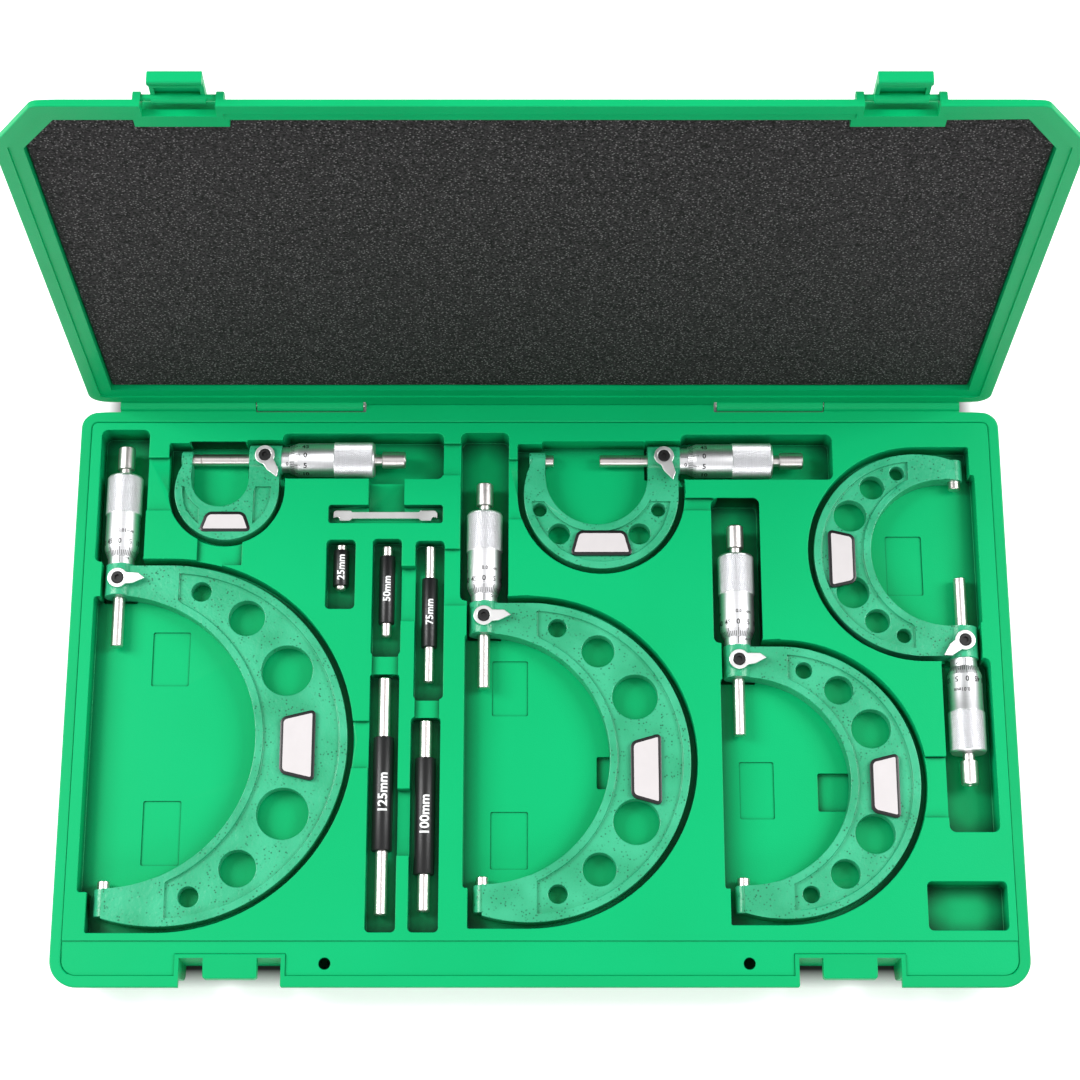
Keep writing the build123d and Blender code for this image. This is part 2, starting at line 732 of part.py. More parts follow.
def standard_rod(s):
    ends = (s.y - s.length, s.y)
    body = turned(
        (0, ends[0]), (STANDARD_ROD_R - 0.5, ends[0]), (STANDARD_ROD_R, ends[0] + 0.5),
        (STANDARD_ROD_R, ends[1] - 0.5), (STANDARD_ROD_R - 0.5, ends[1]), (0, ends[1]),
    )
    return Pos(s.x, 0, STANDARD_Z) * body


def standard_grip(s):
    start, end = s.y - s.grip[1], s.y - s.grip[0]
    body = turned(
        (STANDARD_ROD_R, start), (STANDARD_GRIP_R - 0.5, start), (STANDARD_GRIP_R, start + 0.5),
        (STANDARD_GRIP_R, end - 0.5), (STANDARD_GRIP_R - 0.5, end), (STANDARD_ROD_R, end),
    )
    return Pos(s.x, 0, STANDARD_Z) * body


def spanner():
    """Adjusting spanner: a flat bar with a hooked head at each end."""
    reach = SPANNER_LENGTH / 2 - SPANNER_HEAD / 2
    plan = Rectangle(2 * reach, SPANNER_NECK)
    for side in (-1, 1):
        plan += Pos(side * reach, 0) * RectangleRounded(SPANNER_HEAD + 4, SPANNER_HEAD, 2)
        plan -= Pos(side * (reach + 3.6), -SPANNER_HEAD / 2) * Circle(2)
    bottom = SPANNER_FLOOR + REST_GAP
    return Pos(SPANNER_X, SPANNER_Y) * slab(plan, bottom, bottom + SPANNER_THICK)


# ---- Assembly ----

HINGE_AXIS = Axis((0, CASE_DEPTH / 2 + HINGE_SETBACK, BASE_HEIGHT), (1, 0, 0))


def opened(shape):
    """Turn a piece of the closed lid back to where the lid rests open."""
    return shape.rotate(HINGE_AXIS, -LID_OPEN)


def open_latch(side):
    return opened(latch_pivot(side) * Rot(-LATCH_OPEN, 0, 0) * latch(side))


def build():
    nodes = {
        "base_shell": base_shell(),
        "insert_tray": insert_tray(),
        "hinge_pins": hinge_pins(),
        "lid_shell": opened(lid_shell()),
        "lid_foam": opened(lid_foam()),
        "latch_left": open_latch(-1),
        "latch_right": open_latch(1),
        "adjusting_spanner": spanner(),
    }
    for s in STANDARDS:
        nodes[f"standard_{s.length}_rod"] = standard_rod(s)
        nodes[f"standard_{s.length}_grip"] = standard_grip(s)
    for m in MICROMETERS:
        for make in (frame, anvil, sleeve, spindle, thimble, ratchet, lock_lever):
            nodes[f"{m.name}_{make.__name__}"] = m.place(make(m))
    return nodes


os.makedirs("parts", exist_ok=True)
for name, shape in build().items():
    export_step(shape, f"parts/{name}.step")
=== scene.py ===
# %% [markdown]
# # A case of outside micrometers
#
# Six micrometers, from 0 to 150 mm, lie in the moulded tray of a hinged case, with the
# five rods that set them and a small spanner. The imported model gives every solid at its
# true place and size. This script dresses it: rounded mouldings, foam, knurls,
# graduations, plates and finishes. One unit is a metre, so sizes are written in
# millimetres and multiplied by MM.

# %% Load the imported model
import json
from itertools import product
from math import cos, pi, radians, sin

import bmesh
import bpy
from mathutils import Matrix, Vector, noise
from mathutils.bvhtree import BVHTree
from mathutils.geometry import intersect_point_line
from mathutils.kdtree import KDTree

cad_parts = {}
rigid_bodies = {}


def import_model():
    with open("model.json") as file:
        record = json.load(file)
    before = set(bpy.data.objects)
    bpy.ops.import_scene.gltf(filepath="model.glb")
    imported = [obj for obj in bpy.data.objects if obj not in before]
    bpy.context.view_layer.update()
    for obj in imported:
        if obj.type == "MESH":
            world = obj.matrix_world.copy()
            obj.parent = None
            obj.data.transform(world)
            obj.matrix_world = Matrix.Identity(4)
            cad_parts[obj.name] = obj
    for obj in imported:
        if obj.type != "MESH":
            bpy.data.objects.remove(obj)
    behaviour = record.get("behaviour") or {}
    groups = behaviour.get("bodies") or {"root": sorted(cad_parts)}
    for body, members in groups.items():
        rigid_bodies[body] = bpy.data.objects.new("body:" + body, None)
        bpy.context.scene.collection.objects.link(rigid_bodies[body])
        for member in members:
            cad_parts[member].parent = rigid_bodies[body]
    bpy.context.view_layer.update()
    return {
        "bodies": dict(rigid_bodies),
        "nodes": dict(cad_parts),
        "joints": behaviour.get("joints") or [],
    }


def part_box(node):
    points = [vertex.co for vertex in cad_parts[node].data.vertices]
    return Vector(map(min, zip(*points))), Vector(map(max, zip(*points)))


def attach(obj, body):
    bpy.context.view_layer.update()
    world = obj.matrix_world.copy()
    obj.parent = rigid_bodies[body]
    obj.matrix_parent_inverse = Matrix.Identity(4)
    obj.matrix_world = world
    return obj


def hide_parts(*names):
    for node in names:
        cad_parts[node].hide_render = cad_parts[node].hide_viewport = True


MM = 0.001
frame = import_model()
nodes = frame["nodes"]

# %% [markdown]
# Every new piece ends in the same two steps: its mesh goes into an object that stays
# at the origin, and the object rides on the body that carries it. A short helper does
# that, so that each later cell is only about shape.


# %% Hand a finished mesh over to its body
def placed(name, data):
    """A new object in the scene that shows the data, at the origin."""
    thing = bpy.data.objects.new(name, data)
    bpy.context.scene.collection.objects.link(thing)
    return thing


def hand_over(bm, name, body, slot, *materials, smooth=35, turn_out=True):
    mesh = bpy.data.meshes.new(name)
    if turn_out:
        bmesh.ops.recalc_face_normals(bm, faces=bm.faces)
    bm.to_mesh(mesh)
    bm.free()
    for material in materials:
        mesh.materials.append(material)
    mesh.shade_smooth()
    mesh.set_sharp_from_angle(angle=radians(smooth))
    piece = placed(name, mesh)
    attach(piece, body)
    return piece


def body_of(node):
    """The name of the body that carries the node."""
    return next(name for name, body in frame["bodies"].items() if nodes[node].parent == body)


# %% [markdown]
# ## Finishes
#
# A finish is more than a colour: moulded plastic has a fine spark-eroded grain, enamel
# has drops and specks, turned metal has rings from the tool. The patterns that more
# than one finish uses are node groups. Each takes Object coordinates, so a pattern has
# the same scale on every piece, and puts out masks and heights, never a shader.


# %% Start a group and a material
def new_group(name, inputs, outputs):
    group = bpy.data.node_groups.new(name, "ShaderNodeTree")
    for label, kind, value in inputs:
        socket = group.interface.new_socket(label, in_out="INPUT", socket_type=kind)
        socket.default_value = value
    for label, kind in outputs:
        group.interface.new_socket(label, in_out="OUTPUT", socket_type=kind)
    entry = group.nodes.new("NodeGroupInput")
    leave = group.nodes.new("NodeGroupOutput")
    return group, entry.outputs, leave.inputs


def link(tree, source, target):
    tree.links.new(source, target)


def textured(tree, kind, scale, detail=None, vector=None):
    node = tree.nodes.new(kind)
    node.inputs["Scale"].default_value = scale
    if detail is not None:
        node.inputs["Detail"].default_value = detail
    if vector is not None:
        link(tree, vector, node.inputs["Vector"])
    return node


def remap(tree, value, low, high, to_low=0.0, to_high=1.0):
    node = tree.nodes.new("ShaderNodeMapRange")
    node.inputs["From Min"].default_value = low
    node.inputs["From Max"].default_value = high
    node.inputs["To Min"].default_value = to_low
    node.inputs["To Max"].default_value = to_high
    link(tree, value, node.inputs["Value"])
    return node.outputs["Result"]


def mixed(tree, mask, first, second):
    """Colour that goes from first to second with the mask; each is a colour or a socket."""
    node = tree.nodes.new("ShaderNodeMix")
    node.data_type = "RGBA"
    link(tree, mask, node.inputs["Factor"])
    for socket, value in ((node.inputs[6], first), (node.inputs[7], second)):
        if isinstance(value, bpy.types.NodeSocket):
            link(tree, value, socket)
        else:
            socket.default_value = (*value, 1)
    return node.outputs[2]


def combined(tree, operation, first, second=None):
    """One math node on the sockets."""
    node = tree.nodes.new("ShaderNodeMath")
    node.operation = operation
    link(tree, first, node.inputs[0])
    if second is not None:
        link(tree, second, node.inputs[1])
    return node.outputs["Value"]


def uneven_gloss(tree, shader, mask, roughness, low=0.3, high=0.7, less=0.06, more=0.08):
    """Lets the roughness wander about its mean with the mask."""
    wander = remap(tree, mask, low, high, roughness - less, roughness + more)
    link(tree, wander, shader.inputs["Roughness"])


def srgb(red, green, blue):
    """Linear colour from the 0 to 255 numbers of a paint chart."""
    shares = [c / 255 for c in (red, green, blue)]
    return tuple(c / 12.92 if c < 0.04045 else ((c + 0.055) / 1.055) ** 2.4 for c in shares)


def new_material(name, color, roughness, metallic=0.0, **sockets):
    material = bpy.data.materials.new(name)
    material.use_nodes = True
    shader = material.node_tree.nodes["Principled BSDF"]
    shader.inputs["Base Color"].default_value = (*color, 1)
    shader.inputs["Roughness"].default_value = roughness
    shader.inputs["Metallic"].default_value = metallic
    for label, value in sockets.items():
        shader.inputs[label.replace("_", " ")].default_value = value
    return material, material.node_tree, shader


def object_coordinates(tree, stretch=(1, 1, 1)):
    place = tree.nodes.new("ShaderNodeTexCoord").outputs["Object"]
    if stretch == (1, 1, 1):
        return place
    mapping = tree.nodes.new("ShaderNodeMapping")
    mapping.inputs["Scale"].default_value = stretch
    link(tree, place, mapping.inputs["Vector"])
    return mapping.outputs["Vector"]


def bumped(tree, shader, height, depth, strength=1.0):
    bump = tree.nodes.new("ShaderNodeBump")
    bump.inputs["Distance"].default_value = depth
    bump.inputs["Strength"].default_value = strength
    link(tree, height, bump.inputs["Height"])
    link(tree, bump.outputs["Normal"], shader.inputs["Normal"])


# %% [markdown]
# The grain group serves both plastics and the enamel. It mixes a fine noise with a
# broad one: the fine one is the grain that breaks up the gloss, the broad one is the
# slight flow of colour that keeps a large moulding from looking like paper.


# %% Grain group
def make_grain():
    inputs = [
        ("Vector", "NodeSocketVector", (0, 0, 0)),
        ("Grain Scale", "NodeSocketFloat", 1800.0),
        ("Flow Scale", "NodeSocketFloat", 14.0),
    ]
    outputs = [("Height", "NodeSocketFloat"), ("Flow", "NodeSocketFloat")]
    group, given, result = new_group("moulded_grain", inputs, outputs)
    fine = textured(group, "ShaderNodeTexNoise", 1, 3, given["Vector"])
    broad = textured(group, "ShaderNodeTexNoise", 1, 2, given["Vector"])
    link(group, given["Grain Scale"], fine.inputs["Scale"])
    link(group, given["Flow Scale"], broad.inputs["Scale"])
    link(group, fine.outputs["Fac"], result["Height"])
    link(group, remap(group, broad.outputs["Fac"], 0.35, 0.65), result["Flow"])
    return group


GRAIN = make_grain()


def grain(tree, vector, grain_scale, flow_scale):
    node = tree.nodes.new("ShaderNodeGroup")
    node.node_tree = GRAIN
    link(tree, vector, node.inputs["Vector"])
    node.inputs["Grain Scale"].default_value = grain_scale
    node.inputs["Flow Scale"].default_value = flow_scale
    return node.outputs["Height"], node.outputs["Flow"]


# %% [markdown]
# Case, tray and latches are moulded in the same green, a shade apart because they come
# from different machines. The tray's fitted slots look far darker than its deck. That
# darkness is painted shade: an occlusion mask that reads only the tray's own shape
# mixes a darker green into the tray's colour where its own walls stand close.


# %% Moulded plastics
def with_painted_shade(tree, tone, painted_shade_color, reach=14 * MM):
    """The tone with painted shade: a darker colour mixed in where the piece's own walls stand close."""
    painted_shade_occlusion = tree.nodes.new("ShaderNodeAmbientOcclusion")
    painted_shade_occlusion.only_local = True
    painted_shade_occlusion.samples = 8
    painted_shade_occlusion.inputs["Distance"].default_value = reach
    # painted shade: the darker colour takes over where the occlusion is strong
    return mixed(tree, remap(tree, painted_shade_occlusion.outputs["AO"], 0.35, 0.85), painted_shade_color, tone)


def moulded_plastic(name, color, flowed, roughness, shine, painted_shade_color=None):
    material, tree, shader = new_material(name, color, roughness, Specular_IOR_Level=shine)
    height, flow = grain(tree, object_coordinates(tree), 1500, 12)
    tone = mixed(tree, flow, color, flowed)
    # where a shade colour is given, painted shade darkens the tone in the piece's own hollows
    link(tree, with_painted_shade(tree, tone, painted_shade_color) if painted_shade_color else tone, shader.inputs["Base Color"])
    uneven_gloss(tree, shader, height, roughness)
    bumped(tree, shader, height, 0.05 * MM)
    return material


CASE_GREEN = srgb(0, 166, 100)
case_plastic = moulded_plastic("case_plastic", CASE_GREEN, srgb(0, 160, 95), 0.4, 0.13)
# the tray gets painted shade in this darker green in its slots and hollows
tray_plastic = moulded_plastic(
    "tray_plastic", CASE_GREEN, srgb(0, 169, 103), 0.38, 0.13, painted_shade_color=srgb(0, 62, 36),
)
latch_plastic = moulded_plastic("latch_plastic", CASE_GREEN, srgb(0, 162, 97), 0.4, 0.13)
grip_plastic = moulded_plastic("grip_plastic", srgb(20, 20, 21), srgb(16, 16, 17), 0.34, 0.35)

# %% [markdown]
# The frames are castings under a hammered enamel: a lighter green than the case, with
# a skin of soft dimples, and dark specks where the paint pulled away from the casting.
# A Voronoi pattern gives the specks, one to a cell. A noise lets them through in some
# places only, so they gather there instead of lying like a grid.


# %% Hammered enamel
def hammered_enamel():
    color = srgb(54, 172, 127)
    material, tree, shader = new_material(
        "frame_enamel", color, 0.34, Specular_IOR_Level=0.3, Coat_Weight=0.2, Coat_Roughness=0.16,
    )
    place = object_coordinates(tree)
    height, flow = grain(tree, place, 420, 40)
    shade = mixed(tree, flow, color, srgb(38, 153, 108))
    cells = textured(tree, "ShaderNodeTexVoronoi", 560, None, place)
    specks = remap(tree, cells.outputs["Distance"], 0.32, 0.18)
    patches = textured(tree, "ShaderNodeTexNoise", 160, 3, place)
    gather = remap(tree, patches.outputs["Fac"], 0.44, 0.6)
    bared = combined(tree, "MULTIPLY", specks, gather)
    link(tree, mixed(tree, bared, shade, srgb(20, 98, 67)), shader.inputs["Base Color"])
    bumped(tree, shader, height, 0.35 * MM)
    return material


frame_enamel = hammered_enamel()

# %% [markdown]
# Turned steel keeps the rings of the lathe or the grinding wheel. Noise that is
# stretched across the axis gives rings: coarse along the axis, unchanged round it.
# The tools lie along X or along Y, so each metal is made once for each direction.


# %% Turned metals
RING_STRETCH = 60


def turned_metal(name, color, roughness, along, depth):
    material, tree, shader = new_material(name, color, roughness, metallic=1.0)
    stretch = (RING_STRETCH, 1, 1) if along == "x" else (1, RING_STRETCH, 1)
    rings = textured(tree, "ShaderNodeTexNoise", 60, 4, object_coordinates(tree, stretch))
    value = rings.outputs["Fac"]
    uneven_gloss(tree, shader, value, roughness, less=0.05)
    dull = tuple(0.93 * c for c in color)
    link(tree, mixed(tree, remap(tree, value, 0.4, 0.6), color, dull), shader.inputs["Base Color"])
    bumped(tree, shader, value, depth)
    return material


def both_ways(name, color, roughness, depth=0.003 * MM):
    return {way: turned_metal(f"{name}_{way}", color, roughness, way, depth) for way in "xy"}


satin_chrome = both_ways("satin_chrome", (0.80, 0.80, 0.82), 0.38)
ground_steel = both_ways("ground_steel", (0.72, 0.67, 0.65), 0.32, 0.001 * MM)
bright_chrome = both_ways("bright_chrome", (0.74, 0.70, 0.69), 0.34, 0.001 * MM)


def plated(name, color, roughness):
    """Plating on a pressed piece, which has a fine even grain and no rings."""
    material, tree, shader = new_material(name, color, roughness, metallic=1.0)
    height, flow = grain(tree, object_coordinates(tree), 900, 60)
    uneven_gloss(tree, shader, flow, roughness, 0.0, 1.0, less=0.04, more=0.06)
    bumped(tree, shader, height, 0.01 * MM)
    return material


lever_chrome = plated("lever_chrome", (0.93, 0.92, 0.92), 0.34)

# %% [markdown]
# Ink and paint are thin films on the metal and the grips, plain but for a slight
# unevenness of tone and surface.


# %% Small plain finishes
def painted(name, color, roughness, spread=0.2):
    """Paint or ink with a slightly uneven tone."""
    material, tree, shader = new_material(name, color, roughness)
    height, flow = grain(tree, object_coordinates(tree), 2500, 120)
    thin = tuple(c * (1 - spread) for c in color)
    link(tree, mixed(tree, flow, color, thin), shader.inputs["Base Color"])
    bumped(tree, shader, height, 0.02 * MM)
    return material


black_ink = painted("black_ink", srgb(30, 30, 32), 0.6)
white_ink = painted("white_ink", srgb(235, 236, 236), 0.55, 0.04)
plate_black = painted("plate_black", srgb(16, 16, 17), 0.35)
plate_white = painted("plate_white", srgb(200, 195, 196), 0.4, 0.03)
screw_black = painted("screw_black", srgb(20, 20, 21), 0.38)

# %% [markdown]
# ## Mouldings and castings
#
# A solid from the CAD model has edges of no radius, which never catch the light. The
# real case comes from a mould and the frames from a casting, so each outside edge has a
# small round. The solid's mesh is loose triangles: a copy of it is joined and its flat
# areas are made single faces again, so that an edge is where two real faces meet.
# The tray is one moulding, but its CAD model is cut into simple solids. Where two of
# them touch, both have a face in the same place that looks the other way. A face that
# is covered all over lies inside the moulding, so it goes, and the tray is one skin
# again. A face that is covered only in part stays, because its free part shows.


# %% Faces inside the moulding
def contact_test(bm, reach=0.08 * MM):
    """A test of whether a face that looks the other way lies right on a point."""
    tree = BVHTree.FromBMesh(bm)

    def covered(point, normal):
        close = tree.find_nearest_range(point, reach)
        return any(other.dot(normal) < -0.99 for _, other, _, _ in close)

    return covered


def hidden(face, covered):
    """Whether the face is covered in its middle, near its corners and along its edges."""
    middle = face.calc_center_median()
    corners = [loop.vert.co for loop in face.loops]
    halfway = [(loop.vert.co + loop.link_loop_next.vert.co) / 2 for loop in face.loops]
    spots = [middle] + [spot.lerp(middle, 0.1) for spot in corners + halfway]
    return all(covered(spot, face.normal) for spot in spots)


def joined_copy(node):
    """One skin of the node's triangles, and the contact test of the solids it came from."""
    bm = bmesh.new()
    bm.from_mesh(nodes[node].data)
    bm.normal_update()
    covered = contact_test(bm)
    bmesh.ops.delete(bm, geom=[face for face in bm.faces if hidden(face, covered)], context="FACES")
    bmesh.ops.remove_doubles(bm, verts=bm.verts, dist=0.02 * MM)
    bmesh.ops.dissolve_limit(bm, angle_limit=radians(0.5), verts=bm.verts, edges=bm.edges)
    return bm, covered


# %% [markdown]
# A bevel on every edge that turns sharply makes the rounds. Two kinds of edge stay
# sharp. An edge beside a contact is a seam between two solids and no edge of the
# moulding. An edge that runs closer to its neighbour than its round needs would make
# the round fold over, and a fold shows as a black wedge. So the bevel is first tried on
# a copy, the folds are found by coming off the old surface or turning over on it, and
# the edges beside them are left out. A few trials are enough.


# %% Round the edges of a copy
TRIALS = 4


def sharp_edges(bm, turn=35):
    paired = [edge for edge in bm.edges if len(edge.link_faces) == 2]
    return [edge for edge in paired if edge.calc_face_angle() > radians(turn)]


def beside_contact(edge, covered, step=0.12 * MM):
    """Whether either face of the edge is covered next to it, so that the edge isn't outside."""
    middle = (edge.verts[0].co + edge.verts[1].co) / 2
    for loop in edge.link_loops:
        along = loop.link_loop_next.vert.co - loop.vert.co
        inward = loop.face.normal.cross(along).normalized()
        if covered(middle + inward * step, loop.face.normal):
            return True
    return False


def bevel_edges(bm, edges, radius, segments):
    bmesh.ops.bevel(
        bm, geom=edges, offset=radius, offset_type="OFFSET", affect="EDGES", segments=segments,
        profile=0.5, material=-1, clamp_overlap=False,
    )


def bevelled(bm, numbers, radius, segments):
    """A copy with the numbered edges bevelled."""
    trial = bm.copy()
    trial.edges.ensure_lookup_table()
    bevel_edges(trial, [trial.edges[number] for number in numbers], radius, segments)
    return trial


def folds(trial, before, radius):
    """Corners of the triangles that ended up away from the surface or turned over on it."""
    split = trial.copy()
    bmesh.ops.triangulate(split, faces=split.faces)
    spots = []
    for face in split.faces:
        _, normal, _, distance = before.find_nearest(face.calc_center_median())
        if distance > 0.8 * radius or normal.dot(face.normal) < 0.2:
            spots += [vert.co.copy() for vert in face.verts]
    split.free()
    return spots


def near(edge, spots, reach):
    """Whether the edge passes within reach of any of the spots."""
    start, end = (vert.co for vert in edge.verts)
    for spot, _, _ in spots.find_range((start + end) / 2, reach + edge.calc_length() / 2):
        on_edge, share = intersect_point_line(spot, start, end)
        if -0.02 < share < 1.02 and (on_edge - spot).length < reach:
            return True
    return False


def rounded(bm, covered, radius, segments=3):
    """Bevels the sharp edges, leaving out those whose round would fold over a neighbour."""
    before = BVHTree.FromBMesh(bm)
    bm.edges.index_update()
    numbers = [edge.index for edge in sharp_edges(bm) if not beside_contact(edge, covered)]
    bm.edges.ensure_lookup_table()
    for _ in range(TRIALS):
        trial = bevelled(bm, numbers, radius, segments)
        folded = folds(trial, before, radius)
        trial.free()
        spots = KDTree(len(folded))
        for index, spot in enumerate(folded):
            spots.insert(spot, index)
        spots.balance()
        numbers = [number for number in numbers if not near(bm.edges[number], spots, 1.2 * radius)]
    result = bevelled(bm, numbers, radius, segments)
    bm.free()
    return result, len(numbers)


def softened(node, slot, radius, *materials):
    """Replaces the node with a joined copy whose outside edges are rounded."""
    bm, covered = joined_copy(node)
    bm, count = rounded(bm, covered, radius)
    piece = hand_over(bm, f"{node}_moulded", body_of(node), slot, *materials, turn_out=False)
    weighted = piece.modifiers.new("flat faces stay flat", "WEIGHTED_NORMAL")
    weighted.keep_sharp = True
    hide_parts(node)
    print(piece.name, "edges rounded:", count, "faces:", len(piece.data.polygons))
    return piece


# %% [markdown]
# The bigger the moulding, the bigger its rounds: most on the base, least on the latches.
# The spanner is pressed from sheet and tumbled, so its edges are round as well.


# %% Case, tray, latches and frames
MICROMETERS = [name for name in frame["bodies"] if f"{name}_frame" in nodes]
softened("base_shell", "case_plastic", 0.8 * MM, case_plastic)
softened("lid_shell", "case_plastic", 0.6 * MM, case_plastic)
softened("insert_tray", "tray_plastic", 0.5 * MM, tray_plastic)
for side in ("left", "right"):
    softened(f"latch_{side}", "latch_plastic", 0.3 * MM, latch_plastic)
for tool in MICROMETERS:
    softened(f"{tool}_frame", "frame_enamel", 0.5 * MM, frame_enamel)
softened("adjusting_spanner", "bright_chrome", 0.5 * MM, lever_chrome)

# %% [markdown]
# ## Foam
#
# The lid is lined with a cut sheet of charcoal foam. Cut foam is never quite flat: its
# face swells a little between the places where it is glued, and its edge is soft. The
# CAD sheet gives the outline. Its edges are rounded, planes cut its faces into a grid
# that can bend, and a smooth noise moves the grid in and out by fractions of a
# millimetre. Its cells are far finer than that, so they are left to the finish.


# %% Foam finish
def open_cell_foam():
    dark, middle, light = srgb(22, 20, 21), srgb(58, 55, 57), srgb(124, 120, 122)
    material, tree, shader = new_material("foam", dark, 0.95, Specular_IOR_Level=0.2)
    place = object_coordinates(tree)
    cells = textured(tree, "ShaderNodeTexNoise", 800, 3, place)
    flecks = textured(tree, "ShaderNodeTexVoronoi", 620, None, place)
    glint = remap(tree, flecks.outputs["Distance"], 0.32, 0.14)
    tone = mixed(tree, remap(tree, cells.outputs["Fac"], 0.4, 0.6), dark, middle)
    link(tree, mixed(tree, glint, tone, light), shader.inputs["Base Color"])
    bumped(tree, shader, cells.outputs["Fac"], 0.5 * MM)
    return material


foam_finish = open_cell_foam()


# %% Foam sheet
def foam_sheet(grid=9 * MM, swell=0.18 * MM):
    bm, _ = joined_copy("lid_foam")
    bevel_edges(bm, sharp_edges(bm), 1.1 * MM, 3)
    low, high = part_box("lid_foam")
    for axis, step_normal in ((0, (1, 0, 0)), (2, (0, 0, 1))):
        for cut in range(1, int((high[axis] - low[axis]) / grid)):
            point = Vector(low)
            point[axis] += cut * grid
            everything = bm.verts[:] + bm.edges[:] + bm.faces[:]
            bmesh.ops.bisect_plane(bm, geom=everything, plane_co=point, plane_no=step_normal)
    bm.normal_update()
    for vert in bm.verts:
        vert.co += vert.normal * swell * (noise.noise(vert.co * 25) - 0.5)
    piece = hand_over(bm, "lid_foam_sheet", body_of("lid_foam"), "foam", foam_finish, smooth=50)
    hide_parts("lid_foam")
    print("foam faces", len(piece.data.polygons))


foam_sheet()

# %% [markdown]
# ## Micrometer heads
#
# Every turned piece of a micrometer is a profile spun round the spindle's axis. Each
# tool has its own frame: the anvil's face is the origin, Y runs along the spindle to
# the thimble, X points to the bow and Z is up. A matrix made from the joints and boxes
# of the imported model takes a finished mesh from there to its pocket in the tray.


# %% A tool's own frame
JOINTS = {joint["name"]: joint for joint in frame["joints"]}


def corners(node):
    return [Vector(corner) for corner in product(*zip(*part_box(node)))]


class Tool:
    """Where a micrometer lies, and where its pieces begin and end along its axis."""

    def __init__(self, name):
        turn = JOINTS[f"{name}_thimble_turn"]
        self.name = name
        self.along = Vector(turn["axis"]).normalized()
        up = Vector((0, 0, 1))
        across = self.along.cross(up)
        foot = Vector(turn["pos_m"])
        anvil_face = max(self.along.dot(c) for c in corners(f"{name}_anvil"))
        foot += self.along * (anvil_face - self.along.dot(foot))
        self.place = Matrix((across, self.along, up)).transposed().to_4x4()
        self.place.translation = foot
        self.way = "x" if abs(self.along.x) > 0.5 else "y"

    def span(self, part):
        back = self.place.inverted()
        reach = [(back @ c).y for c in corners(f"{self.name}_{part}")]
        return min(reach), max(reach)


tools = [Tool(name) for name in MICROMETERS]
for tool in tools:
    start, end = tool.span("thimble")
    gap = tool.span("spindle")[0]
    print(tool.name, "gap %.1f mm" % (gap / MM), "thimble at %.1f mm" % (start / MM))


# %% Spin a profile round the Y axis
def spun(bm, profile, steps=72):
    """Adds the turned shape of (radius, y) points, in metres."""
    verts = [bm.verts.new((r, y, 0)) for r, y in profile]
    edges = [bm.edges.new(pair) for pair in zip(verts, verts[1:])]
    bmesh.ops.spin(
        bm, geom=verts + edges, cent=(0, 0, 0), axis=(0, 1, 0), angle=2 * pi, steps=steps,
        use_merge=True,
    )
    bmesh.ops.remove_doubles(bm, verts=bm.verts, dist=0.001 * MM)


def rolled_grid(bm, columns, rows, radius_at, start, end):
    """A sheet rolled into a tube about the Y axis; radius_at gives each point's radius."""
    made = bmesh.ops.create_grid(bm, x_segments=columns, y_segments=rows, size=0.5)["verts"]
    for vert in made:
        column, row = round((vert.co.x + 0.5) * columns), round((vert.co.y + 0.5) * rows)
        turn, radius = 2 * pi * column / columns, radius_at(column, row)
        vert.co = (radius * cos(turn), start + (end - start) * row / rows, radius * sin(turn))
    bmesh.ops.remove_doubles(bm, verts=made, dist=0.001 * MM)


# %% [markdown]
# The diamond knurl is pressed in by two wheels whose grooves cross. On a grid of
# points, every second point is a tip and the others are roots, as on a chessboard. When
# each square is split between its two roots, the splits join up into the two crossing
# families of grooves. The root to root diagonal is the shorter one, so the triangulate
# operator finds it by itself.

# %% Thimble with its knurl
THIMBLE_R = 9.2 * MM
KNURL_TIP = 9.8 * MM
KNURL_ROOT = 9.35 * MM
KNURL_LENGTH = 22 * MM
THIMBLE_BEVEL = 4.5 * MM
SLEEVE_R = 7 * MM
SPINDLE_R = 3.25 * MM


def thimble(tool, columns=104, rows=38):
    start, end = tool.span("thimble")
    knurl = end - KNURL_LENGTH
    bm = bmesh.new()
    spun(bm, [
        (SLEEVE_R + 0.1 * MM, end - 3 * MM),
        (SLEEVE_R + 0.1 * MM, start),
        (SLEEVE_R + 0.55 * MM, start),
        (THIMBLE_R - 0.08 * MM, start + THIMBLE_BEVEL - 0.15 * MM),
        (THIMBLE_R, start + THIMBLE_BEVEL + 0.3 * MM),
        (THIMBLE_R, knurl - 0.5 * MM),
        (THIMBLE_R + 0.1 * MM, knurl - 0.3 * MM),
        (KNURL_ROOT, knurl),
        (KNURL_ROOT, end - 0.8 * MM),
        (KNURL_ROOT - 0.5 * MM, end),
        (SPINDLE_R + 0.3 * MM, end),
        (SPINDLE_R + 0.1 * MM, end - 0.2 * MM),
    ])

    def height(column, row):
        if row in (0, rows):
            return KNURL_ROOT - 0.02 * MM
        return KNURL_TIP if (column + row) % 2 == 0 else KNURL_ROOT

    rolled_grid(bm, columns, rows, height, knurl, end - 0.8 * MM)
    band = [face for face in bm.faces if len(face.verts) == 4 and face.calc_area() < 0.6 * MM * MM]
    bmesh.ops.triangulate(bm, faces=band, quad_method="SHORT_EDGE")
    bm.transform(tool.place)
    piece = hand_over(
        bm, f"{tool.name}_thimble_knurled", f"{tool.name}_thimble", "satin_chrome",
        satin_chrome[tool.way], smooth=28,
    )
    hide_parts(f"{tool.name}_thimble")
    return piece


for tool in tools:
    print("thimble faces", len(thimble(tool).data.polygons))

# %% [markdown]
# The ratchet at the end is turned by fingertips, so it has a finer knurl whose teeth
# run straight along it, and a shallow round recess in its end.

# %% Ratchet
RATCHET_NECK = 3.1 * MM
RATCHET_R = 4.6 * MM
RATCHET_LENGTH = 12.8 * MM


